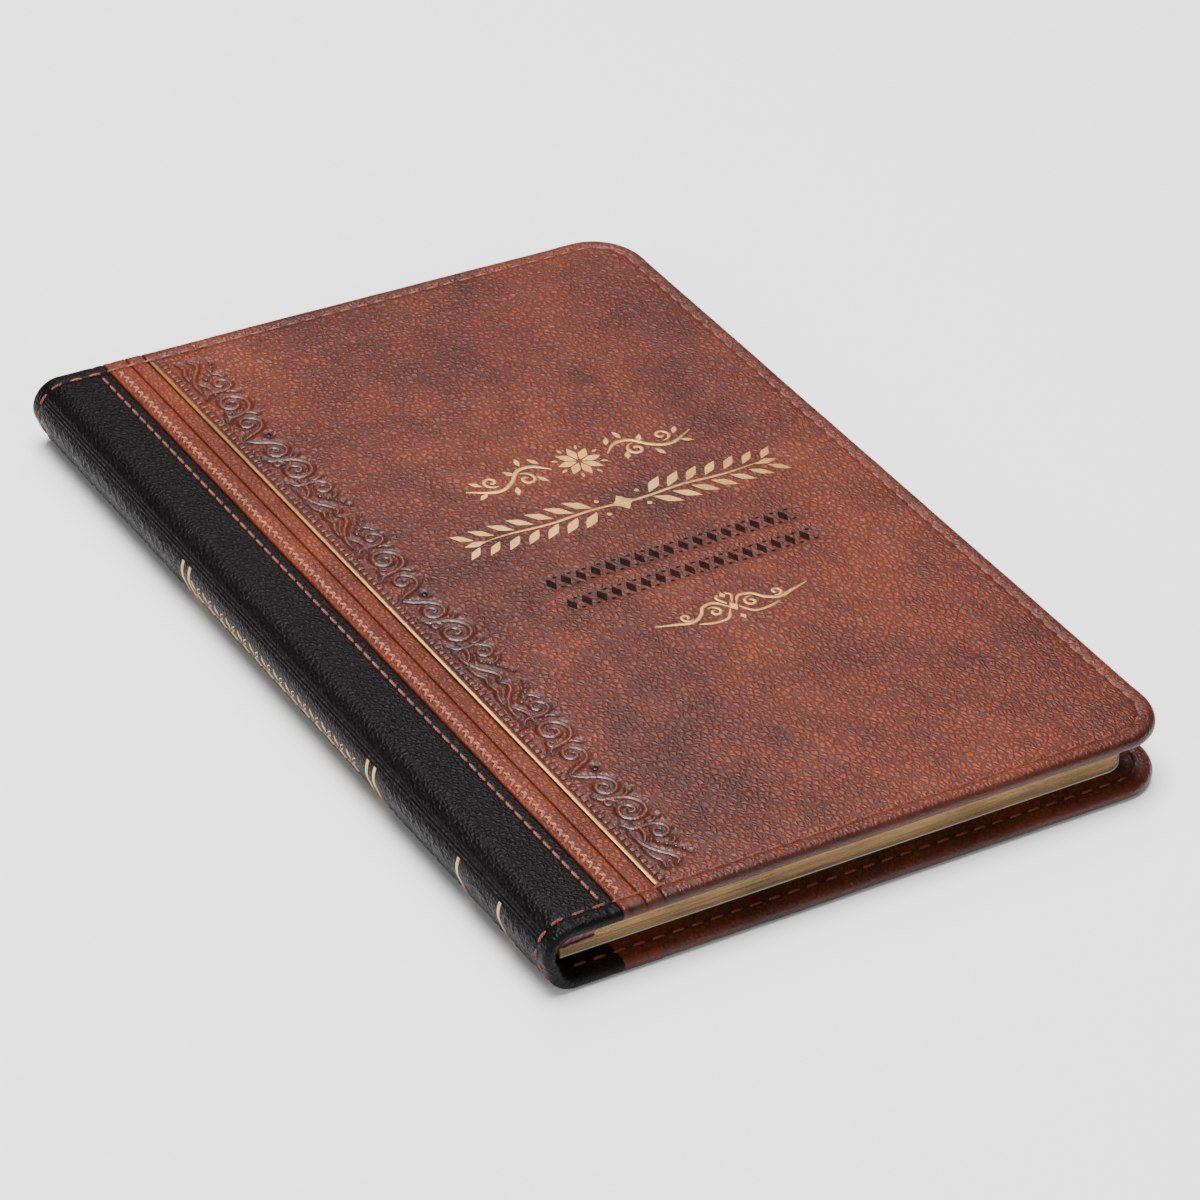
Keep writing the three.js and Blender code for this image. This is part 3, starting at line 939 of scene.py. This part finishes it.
# Which bodies each length of the spine bends between, from its start to its end.
front_bend = ("spine", "front_cover", frame_point(front_arc), frame_point(0.0))
back_bend = ("spine", "back_cover", frame_point(face_stop), frame_point(spine_width))
lengths = {
    "front_shoulder": (0.0, front_arc, front_bend),
    "spine_face": (front_arc, face_stop, None),
    "back_shoulder": (face_stop, spine_width, back_bend),
}


def finish_on_spine(thing, look, slot, length, **more):
    blend = lengths[length][2]
    return finish(thing, look, slot, None if blend else "spine", blend=blend, **more)


# %% the three lengths
spine_nodes = ("front_shoulder_leather", "spine_leather", "back_shoulder_leather")
for length, node in zip(lengths, spine_nodes):
    low, high, _ = lengths[length]
    piece = spine_piece(f"{length}_skin", low, high, 0.3)
    finish_on_spine(piece, dark_leather, "dark_leather", length, stands_for=[node])

# %% [markdown]
# ## Raised tooling and foil
# A raised stem is a round cord of leather pressed half into its moat. Each is drawn as a line with a
# width at every point, given a round section, and pressed flat. Foil lies on the leather as a film,
# so its pieces are almost flat and follow the relief under them.

# %% lines with a body
def taper(count, least=0.25):
    t = np.linspace(0, 1, count)
    return least + (1 - least) * np.minimum(1, np.sin(np.pi * np.clip(t, 0.02, 0.98)) * 1.9)


def cords(name, lines, squash=1.0, sides=1, tapered=True):
    """Round lines joined into one mesh. Each line is its points and its half width."""
    data = bpy.data.curves.new(name, "CURVE")
    data.dimensions = "3D"
    data.bevel_depth = 1.0
    data.bevel_resolution = sides
    data.use_fill_caps = True
    for line, width in lines:
        line = np.array(line, float)
        if line.shape[1] == 2:
            line = np.column_stack([line, np.zeros(len(line))])
        run = data.splines.new("POLY")
        run.points.add(len(line) - 1)
        run.points.foreach_set("co", np.column_stack([line, np.ones(len(line))]).ravel())
        run.points.foreach_set("radius", width * (taper(len(line)) if tapered else np.ones(len(line))))
    thing = bpy.data.objects.new(name, data)
    bpy.context.collection.objects.link(thing)
    choose(thing)
    bpy.ops.object.convert(target="MESH")
    thing = named(name)
    at = points(thing)
    at[:, 2] *= squash
    put_points(thing, at)
    return thing


def drape(thing, lift, relief=front_relief):
    """Lays a flat piece on the cover's upper side, following its relief."""
    at = points(thing)
    height, _ = relief(at[:, 0], at[:, 1])
    at[:, 2] += cover + height + lift
    put_points(thing, at)
    return thing


# %% the scroll border and its rail
stems = cords("scroll_border", scroll_lines, squash=0.42)
at = points(stems)
at[:, 2] += cover - 0.12
put_points(stems, at)
finish(to_front(stems), tooled_leather, "brown_leather", "front_cover", angle=60)

rail_pitch = 1.62
deselect()
bpy.ops.mesh.primitive_cube_add(size=1, scale=(1.2, 1.02, 0.3))
pad = named("rail_pad")
bpy.ops.object.transform_apply(scale=True)
bpy.ops.object.mode_set(mode="EDIT")
bpy.ops.mesh.select_all(action="SELECT")
bpy.ops.mesh.bevel(offset=0.14, segments=2)
bpy.ops.object.mode_set(mode="OBJECT")
rail_reach = half_height - 4.9
rail_places = np.arange(-rail_reach, rail_reach, rail_pitch)
rail_x = sum(ladder) / 2
rail = copies(pad, [Matrix.Translation((rail_x, y, cover - 0.16)) for y in rail_places], "rail_of_pads")
finish(to_front(rail), tooled_leather, "brown_leather", "front_cover", angle=60)

# %% the foil line beside the straps
deselect()
bpy.ops.mesh.primitive_cube_add(
    size=1, scale=(0.62, 2 * half_height - 7.4, 0.16), location=(plain_to + 0.48, 0, cover - 0.03)
)
foil_line = named("foil_line")
bpy.ops.object.transform_apply(location=True, scale=True)
bpy.ops.object.mode_set(mode="EDIT")
bpy.ops.mesh.select_all(action="SELECT")
bpy.ops.mesh.bevel(offset=0.06, segments=2)
bpy.ops.object.mode_set(mode="OBJECT")
finish(to_front(foil_line), gold_foil, "gilt_leaves", "front_cover", angle=60)

# %% [markdown]
# ## Stitches
# A stitch is two plies of thread twisted together, which come up out of one hole and go down into
# the next. One is modelled, and copies of it follow each seam, on the outside and the turn-ins.

# %% one stitch, and the seams
def stitch(name, length, ply):
    t = np.linspace(-1, 1, 9)
    lines = []
    for start in (0, math.pi):
        turn = start + t * length * 2.6
        dip = 0.16 - 0.5 * t**6
        aside, up = ply * 0.8 * np.cos(turn), ply * 0.8 * np.sin(turn)
        lines.append((np.column_stack([t * length / 2, aside, dip + up]), ply))
    return cords(name, lines, sides=0, tapered=False)


def along_line(line, pitch):
    """Evenly spaced places on a line, with the direction at each."""
    steps = np.hypot(*np.diff(line, axis=0).T)
    run = np.concatenate([[0], np.cumsum(steps)])
    count = int(run[-1] / pitch)
    for at in (np.arange(count) + 0.5) * run[-1] / count:
        place = [np.interp(at, run, line[:, k]) for k in (0, 1)]
        ahead = [np.interp(at + 0.2, run, line[:, k]) for k in (0, 1)]
        yield place, math.atan2(ahead[1] - place[1], ahead[0] - place[0])


def outline_at(inset, start):
    cx, cy, r = corner(inset)
    turn = np.linspace(0, math.pi / 2, 12)
    fore = np.column_stack([cx + r * np.cos(turn), cy + r * np.sin(turn)])
    top = np.vstack([fore, [start, half_height - inset]])
    return np.vstack([top[::-1] * (1, -1), top])


stitch_length, stitch_ply = 2.5, 0.17
edge_pitch, dark_pitch, zigzag_pitch = 3.7, 2.85, 0.92
sink = 0.2
upside_down = Matrix.Rotation(math.pi, 4, "X")


def laid(x, y, z, turn):
    return Matrix.Translation((x, y, z)) @ Matrix.Rotation(turn, 4, "Z")


reach = half_height - seam_inset - 1.2
edge_line = outline_at(seam_inset, cover_from + 0.4)
dark_line, strap_line = (np.array([[x, -reach], [x, reach]]) for x in (dark_seam, strap_seam))
outside = [laid(*p, cover - sink, a) for p, a in along_line(edge_line, edge_pitch)]
inside = [laid(*p, sink, a) @ upside_down for p, a in along_line(edge_line, edge_pitch)]
straight = [laid(*p, cover - sink, a) for p, a in along_line(dark_line, dark_pitch)]
rng = np.random.default_rng(7)
zigzag = []
for number, (p, a) in enumerate(along_line(strap_line, zigzag_pitch)):
    side = 1 if number % 2 else -1
    aside = p[0] + side * 0.2 + rng.normal(0, 0.05)
    tilt = a + side * math.radians(42) + rng.normal(0, 0.12)
    zigzag.append(laid(aside, p[1], cover - sink + 0.14, tilt))

for side, to_side in (("front", to_front), ("back", to_back)):
    seams = (
        ("edge_stitches", stitch_length, stitch_ply, outside + inside, "edge_seam", copper_thread),
        ("dark_leather_stitches", 2.6, stitch_ply, straight, "dark_stitching", copper_thread),
        ("strap_zigzag", 1.25, 0.16, zigzag, "strap_stitching", bright_thread),
    )
    for name, length, ply, placements, node, look in seams:
        run = to_side(copies(stitch("one_stitch", length, ply), placements, f"{side}_{name}"))
        finish(run, look, "thread", f"{side}_cover", stands_for=[f"{side}_{node}"], angle=70)

# %% the seam across the spine, at head and tail
seam_y = half_height - seam_inset
for length, places in zip(lengths, ((1.7, 5.2, 8.7), (11.85,), (14.9, 17.7))):
    placements = [laid(at, y, cover - sink, 0) for at in places for y in (seam_y, -seam_y)]
    one = stitch("one_stitch", stitch_length, stitch_ply)
    run = wrapped(copies(one, placements, f"{length}_stitches"))
    stands_for = ["spine_seam_head", "spine_seam_tail"] if length == "spine_face" else []
    finish_on_spine(run, copper_thread, "thread", length, stands_for=stands_for, angle=70)

# %% [markdown]
# ## Gilt and blind ornament on the cover
# The middle of the cover carries a rosette with sprays, a laurel garland, two sunk bands of small
# lozenges and a flourish. They are plain bookbinder's ornaments. A gilt leaf is a pointed disc a few
# hundredths of a millimetre thick, made once and copied.

# %% small shapes
def disc(name, length, width, sharp=0.55, sides=16, thick=0.07):
    """A pointed leaf, or with four sides a lozenge, lying along X."""
    deselect()
    bpy.ops.mesh.primitive_circle_add(vertices=sides, radius=1, fill_type="NGON")
    made = named(name)
    at = points(made)
    if sides > 4:
        at[:, 1] *= np.maximum(1 - np.abs(at[:, 0]), 0) ** sharp
    put_points(made, at * (length / 2, width / 2, 1))
    pick(made, verts=np.ones(sides, bool))
    bpy.ops.mesh.extrude_region_move(TRANSFORM_OT_translate={"value": (0, 0, -thick)})
    bpy.ops.mesh.select_all(action="SELECT")
    bpy.ops.mesh.remove_doubles(threshold=0.001)
    bpy.ops.mesh.normals_make_consistent(inside=False)
    bpy.ops.object.mode_set(mode="OBJECT")
    return made


def at_turn(x, y, degrees, size=1.0, z=0.0):
    return laid(x, y, z, math.radians(degrees)) @ Matrix.Scale(size, 4)


def mirrored(lines, middle):
    return lines + [(np.column_stack([2 * middle - line[:, 0], line[:, 1]]), width) for line, width in lines]


def gild(things, name):
    choose(*things)
    if len(things) > 1:
        bpy.ops.object.join()
    thing = drape(named(name), 0.03)
    finish(to_front(thing), gold_foil, "gilt_leaves", "front_cover", angle=60)


middle_x = 75.7

# %% the rosette and its sprays
rosette_y = 23.5
eighth = math.pi / 4


def round_rosette(away, angle, size=1.0):
    x, y = middle_x + away * math.cos(angle), rosette_y + away * math.sin(angle)
    return at_turn(x, y, math.degrees(angle), size)


petals = [round_rosette(2.5, number * eighth) for number in range(8)]
buds = [round_rosette(4.5, (number + 0.5) * eighth, 0.36) for number in range(8)]
flower = copies(disc("petal", 3.9, 1.7), petals + buds, "flower")
spray = [
    (curve_through([(81.6, 23.4), (84.4, 25.6), (87.6, 25.4), (90.4, 22.6), (94.0, 21.3),
                    (99.2, 23.6)], 8), 0.42),
    (spiral((87.2, 22.5), 2.0, 0.4, 80, 430, 22), 0.34),
    (spiral((93.6, 24.4), 1.8, 0.4, 250, 430, 22), 0.32),
]
spray = mirrored(spray, middle_x)
sprigs = [
    (83.4, 26.9, 60), (86.2, 27.8, 100), (90.7, 19.9, -70), (89.4, 25.3, 55), (97.0, 21.0, -30),
    (96.6, 24.8, 50), (84.6, 21.4, -120),
]
placements = [at_turn(x, y, a, 0.62) for x, y, a in sprigs]
placements += [at_turn(2 * middle_x - x, y, 180 - a, 0.62) for x, y, a in sprigs]
spray_lines = cords("sprays", spray, squash=0.16)
gild([flower, spray_lines, copies(disc("sprig", 4.2, 1.7), placements, "sprigs")], "gilt_rosette")

# %% the laurel garland
garland_y = 8.9
leaf_pairs = 7
pair_pitch = 3.95
stem_x = np.linspace(47.0, 104.9, 40)
stem = (np.column_stack([stem_x, garland_y + 0.25 * np.sin(np.linspace(0, 20, 40))]), 0.3)
leaves = []
berries = []
for number in range(leaf_pairs):
    away = number * pair_pitch
    for side in (1, -1):
        for half in (1, -1):
            turn = side * 40 if half > 0 else 180 - side * 40
            place = (middle_x + half * (away + 8), garland_y + side * 2.5)
            leaves.append(at_turn(*place, turn, 1.0 - 0.035 * number))
            berries.append(at_turn(middle_x + side * (4.2 + away), garland_y + 2.2 * half, 0, 0.3))
leaves += [at_turn(middle_x + side * 30.3, garland_y, 0, 0.8) for side in (1, -1)]
crossed = [at_turn(middle_x, garland_y, a) for a in (0, 90)]
heart = copies(disc("lozenge", 4.6, 3.4, sides=4), crossed, "garland_heart")
laurel = copies(disc("laurel_leaf", 5.6, 1.9), leaves, "laurel")
stem_line = cords("garland_stem", [stem], squash=0.16)
berry_dots = copies(disc("berry", 3.0, 3.0, sharp=0.0), berries, "berries")
gild([laurel, stem_line, heart, berry_dots], "gilt_garland")

# %% the flourish
flourish_y = -26.6
flourish = mirrored([
    (curve_through([(76.4, -26.4), (78.2, -24.3), (80.6, -24.6), (82.2, -26.4), (84.6, -27.6),
                    (87.6, -26.9), (91.3, -25.9)], 8), 0.36),
    (spiral((79.4, -26.6), 1.5, 0.3, 60, 420, 20), 0.3),
    (spiral((84.9, -25.9), 1.3, 0.25, 230, 420, 18), 0.28),
    (curve_through([(76.6, -27.0), (78.4, -29.2), (81.4, -29.3), (84.0, -28.6)], 6), 0.3),
    (curve_through([(76.2, -25.4), (77.2, -23.5), (76.5, -22.6)], 5), 0.26),
], middle_x)
knots = [
    at_turn(middle_x, flourish_y + up, 90, size) for up, size in ((0, 0.55), (-3.1, 0.35), (3.6, 0.35))
]
flourish_lines = cords("flourish_lines", flourish, squash=0.16)
gild([flourish_lines, copies(disc("knot", 4.4, 3.2, sides=4), knots, "knots")], "gilt_flourish")

# %% small lozenges in the sunk bands
marks = []
for top, bottom in sunk_bands:
    y = (top + bottom) / 2
    for x in np.arange(sunk_from + 2.6, sunk_to - 2.0, 3.0):
        marks.append(at_turn(x, y, 90))
        marks.append(at_turn(x + 1.5, y + 1.5, 0, 0.3))
        marks.append(at_turn(x + 1.5, y - 1.5, 0, 0.3))
small = disc("small_lozenge", 3.5, 1.9, sides=4, thick=0.16)
choose(small)
bpy.ops.object.mode_set(mode="EDIT")
bpy.ops.mesh.select_all(action="SELECT")
bpy.ops.mesh.bevel(offset=0.06, segments=1)
bpy.ops.object.mode_set(mode="OBJECT")
blind = drape(copies(small, marks, "blind_lozenges"), 0.07)
finish(to_front(blind), burnished_leather, "brown_leather", "front_cover", angle=40)

# %% foil bands and a leafy chain on the spine
band_places = (31.2, 28.8, -32.7, -35.0, -61.7, -74.5)
for length, low, high in (("front_shoulder", rule_at + 1.0, front_arc), ("spine_face", front_arc, face_stop),
                          ("back_shoulder", face_stop, spine_width - 0.9)):
    along = np.linspace(low, high, 9)
    lines = [(np.column_stack([along, np.full(9, y), np.full(9, cover)]), 0.38) for y in band_places]
    foil_bands = cords(f"{length}_foil_bands", lines, tapered=False)
    at = points(foil_bands)
    at[:, 2] = cover + (at[:, 2] - cover) * 0.18
    put_points(foil_bands, at)
    finish_on_spine(wrapped(foil_bands), gold_foil, "gilt_leaves", length, angle=60)

chain_middle = (front_arc + face_stop) / 2
chain = np.arange(-27.6, 26.5, 4.15)
for length, turns in zip(lengths, ((-2.45, 150), None, (2.45, 210))):
    placements = []
    for y in chain:
        if turns is None:
            placements.append(at_turn(chain_middle, y, 90, 1.0, cover + 0.02))
            placements.append(at_turn(chain_middle, y + 2.07, 90, 0.35, cover + 0.02))
        else:
            aside, turn = turns
            placements.append(at_turn(chain_middle + aside, y + 0.9, turn, 0.8, cover + 0.02))
            placements.append(at_turn(chain_middle + aside, y - 0.9, -turn, 0.8, cover + 0.02))
    shape = disc("chain_leaf", 2.9, 1.15) if turns else disc("chain_link", 2.9, 2.3, sides=4)
    links = wrapped(copies(shape, placements, f"{length}_chain"))
    finish_on_spine(links, gold_foil, "gilt_leaves", length, angle=60)

# %% [markdown]
# ## The book block
# Each section is twelve leaves, every one a thin plate with rounded fore corners. The edges of the
# leaves are gilt and their faces are paper.

# %% leaves
def plate(name, x0, x1, reach, round_by, z0, z1):
    deselect()
    bpy.ops.mesh.primitive_cube_add(
        size=1, scale=(x1 - x0, 2 * reach, z1 - z0), location=((x0 + x1) / 2, 0, (z0 + z1) / 2)
    )
    made = named(name)
    bpy.ops.object.transform_apply(location=True, scale=True)
    at = points(made)
    ends = edge_ends(made)
    upright = (at[ends, 0] > x1 - 1e-3).all(1) & (np.abs(at[ends[:, 0], 2] - at[ends[:, 1], 2]) > 1e-3)
    pick(made, edges=upright)
    bpy.ops.mesh.bevel(offset=round_by, segments=9)
    bpy.ops.object.mode_set(mode="OBJECT")
    return made


def gilt_sides(thing, face_look):
    """Paper on the faces that lie flat, gilding on the three cut edges."""
    thing.data.materials.append(face_look)
    thing.data.materials.append(gilt_edge)
    for face in thing.data.polygons:
        face.material_index = 1 if abs(face.normal.z) < 0.5 and face.normal.x > -0.5 else 0


leaf_radius = 5.0
leaves_in_section = 12
z_axis_blends = {
    2: ("back_cover", "section_2", 1), 3: ("section_2", "section_3", 1), 4: ("section_3", "section_4", 1),
    7: ("front_cover", "section_7", -1), 6: ("section_7", "section_6", -1), 5: ("section_6", "section_5", -1),
}
for section in range(1, 9):
    node = f"leaves_{section}"
    (x0, x1), (y0, y1), (z0, z1) = (span(node, axis) for axis in range(3))
    step = (z1 - z0) / leaves_in_section
    one = plate("one_leaf", x0, x1, y1, leaf_radius, z0, z0 + step * 0.86)
    gilt_sides(one, cream_paper)
    placements = []
    for number in range(leaves_in_section):
        jog = rng.uniform(-0.035, 0.0, 2)
        placements.append(Matrix.Translation((jog[0], jog[1] + 0.018, number * step)))
    section_leaves = copies(one, placements, f"section_{section}_leaves")
    if section in z_axis_blends:
        first, second, way = z_axis_blends[section]
        low, high = Vector((0, 0, z0 * MM)), Vector((0, 0, z1 * MM))
        blend = (first, second, low, high) if way > 0 else (first, second, high, low)
        finish(section_leaves, None, "gilt_leaves", blend=blend, stands_for=[node], angle=30)
    else:
        body = "back_cover" if section == 1 else "front_cover"
        finish(section_leaves, None, "gilt_leaves", body, stands_for=[node], angle=30)

# %% flyleaves and endpapers
for side in ("back", "front"):
    node = f"{side}_flyleaf"
    (x0, x1), (y0, y1), (z0, z1) = (span(node, axis) for axis in range(3))
    fly = plate(f"{side}_fly_paper", x0, x1, y1, leaf_radius, z0, z1)
    finish(fly, cream_paper, "paper", f"{side}_cover", stands_for=[node], angle=30)
    node = f"{side}_endpaper"
    (x0, x1), (y0, y1), (z0, z1) = (span(node, axis) for axis in range(3))
    pasted = plate(f"{side}_pasted_paper", x0, x1 + 0.05, y1 + 0.05, 0.8, z0 - 0.02, z1 + 0.02)
    finish(pasted, endpaper_cream, "paper", f"{side}_cover", stands_for=[node], angle=30)

# %% [markdown]
# ## The ribbon marker
# A burgundy ribbon lies under the front flyleaf and hangs over the tail of the leaves. It is a flat
# strip that follows a line, and the Solidify modifier gives it its thickness.

# %% ribbon
(x0, x1), (_, y1), (z0, z1) = (span("ribbon_marker", axis) for axis in range(3))
lie = z1 - 0.15
knots = [
    (y1, lie), (40, lie), (-40, lie), (-83.0, lie), (-83.9, lie - 0.06), (-84.75, lie - 0.75),
    (-84.95, lie - 2.1), (-84.45, lie - 3.5), (-84.3, lie - 4.4), (-84.75, z0 + 0.1),
]
line = curve_through(knots, 9)
strip = sheet("ribbon", np.linspace(x0, x1, 25), np.linspace(0, 1, len(line)))
at = points(strip)
row = np.rint(at[:, 1] * (len(line) - 1)).astype(int)
across = (at[:, 0] - x0) / (x1 - x0)
hang = smooth_step(-83.6, -85.0, line[row, 0]) * smooth_step(lie - 0.4, lie - 3.0, line[row, 1])
ripple = 0.16 * np.sin(across * 9 + 0.6) * hang
cut = 0.5 * across * smooth_step(lie - 4.0, z0, line[row, 1])
put_points(strip, np.column_stack([at[:, 0] + 0.3 * hang, line[row, 0] - np.abs(ripple), line[row, 1] + cut]))
choose(strip)
modifier = strip.modifiers.new("thickness", "SOLIDIFY")
modifier.thickness = 0.2
modifier.offset = 0
bpy.ops.object.modifier_apply(modifier=modifier.name)
finish(strip, burgundy_satin, "ribbon", "front_cover", stands_for=["ribbon_marker"], angle=60)

# %% the layers inside the case keep their own shape
for node, look in (("spine_liner", grey_card), ("front_board", grey_card), ("back_board", grey_card),
                   ("front_foam_pad", cream_foam), ("back_foam_pad", cream_foam)):
    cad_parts[node].data.materials.clear()
    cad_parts[node].data.materials.append(look)

# %% [markdown]
# ## Studio
# A pale floor, a large soft light behind the book that gives the leather its sheen, and two fills.

# %% floor, light and camera
def soft_light(name, place, aim, size, power, colour=(1, 1, 1)):
    deselect()
    bpy.ops.object.light_add(type="AREA", location=place)
    light = bpy.context.object
    light.name = name
    light.data.size = size
    light.data.energy = power
    light.data.color = colour
    light.rotation_euler = (Vector(aim) - Vector(place)).to_track_quat("-Z", "Y").to_euler()
    return light


deselect()
bpy.ops.mesh.primitive_plane_add(size=12, location=(0, 0, -0.0002))
floor = named("studio_floor")
white = Look("pale_floor", Base_Color=(0.9, 0.9, 0.9), Roughness=0.95, Specular_IOR_Level=0.05)
floor.data.materials.append(white.material)
key = soft_light("key_light", (0.5, 0.9, 1.1), (0, 0, 0), 0.4, 7, (1, 0.93, 0.95))
above = soft_light("light_above", (-0.15, 0.1, 1.5), (0, 0, 0), 0.9, 62)
left = soft_light("left_light", (-1.1, -0.35, 0.6), (0, 0, 0), 0.5, 4)
front = soft_light("front_light", (0.1, -1.2, 0.6), (0, 0, 0), 0.7, 5)
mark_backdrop(floor, key, above, left, front)
world = bpy.data.worlds.new("studio")
world.use_nodes = True
world.node_tree.nodes["Background"].inputs["Color"].default_value = (1, 1, 1, 1)
world.node_tree.nodes["Background"].inputs["Strength"].default_value = 0.16
bpy.context.scene.world = world

azimuth, elevation, roll = (math.radians(a) for a in (-35.004, 34.716, 5.114))
target = Vector((3.63, 0.09, 0.35)) * MM
distance = 853.0 * MM
level_part = math.cos(elevation)
back = Vector((math.sin(azimuth) * level_part, -math.cos(azimuth) * level_part, math.sin(elevation)))
level = Vector((math.cos(azimuth), math.sin(azimuth), 0))
upright = back.cross(level)
right = level * math.cos(roll) + upright * math.sin(roll)
up = upright * math.cos(roll) - level * math.sin(roll)
deselect()
bpy.ops.object.camera_add()
camera = bpy.context.object
camera.name = "camera"
camera.data.lens = 145.8
camera.data.sensor_width = 36
turned = Matrix((right, up, back)).transposed().to_4x4()
camera.matrix_world = Matrix.Translation(target + back * distance) @ turned
bpy.context.scene.camera = camera

# %% measure
made_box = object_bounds()
boxes = {"cad": [list(point) for point in cad_box], "made": [list(point) for point in made_box]}
print("CAD box", boxes["cad"], "made box", boxes["made"])
